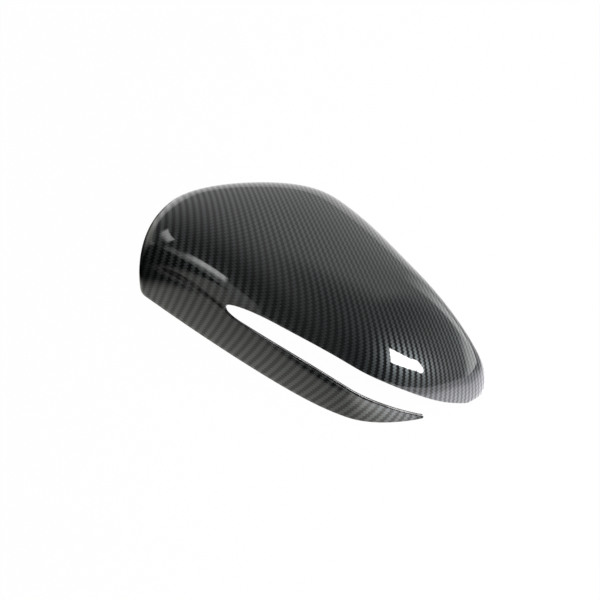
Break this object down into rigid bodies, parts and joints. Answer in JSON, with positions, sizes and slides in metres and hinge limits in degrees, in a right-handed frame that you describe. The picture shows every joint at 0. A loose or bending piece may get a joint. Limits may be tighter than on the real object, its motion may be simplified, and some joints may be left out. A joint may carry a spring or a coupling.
{
  "type": "wing mirror cover",
  "caption": "Glossy carbon-look wing mirror cover with a long pointed slot for the turn lamp, locating pins and snap hooks inside.",
  "frame": {"origin": "middle of the bounding box's bottom, in the plane of the rim", "axes": "+X points to the outboard nose, +Y to the side that is up on the car, +Z out of the face, from the rim to the crown"},
  "size_m": [0.24, 0.1299, 0.0713],
  "materials": {
    "shell": "carbon weave print under a clear gloss coat"
  },
  "bodies": {
    "root": {"mirror_cover": "shell"}
  },
  "joints": []
}
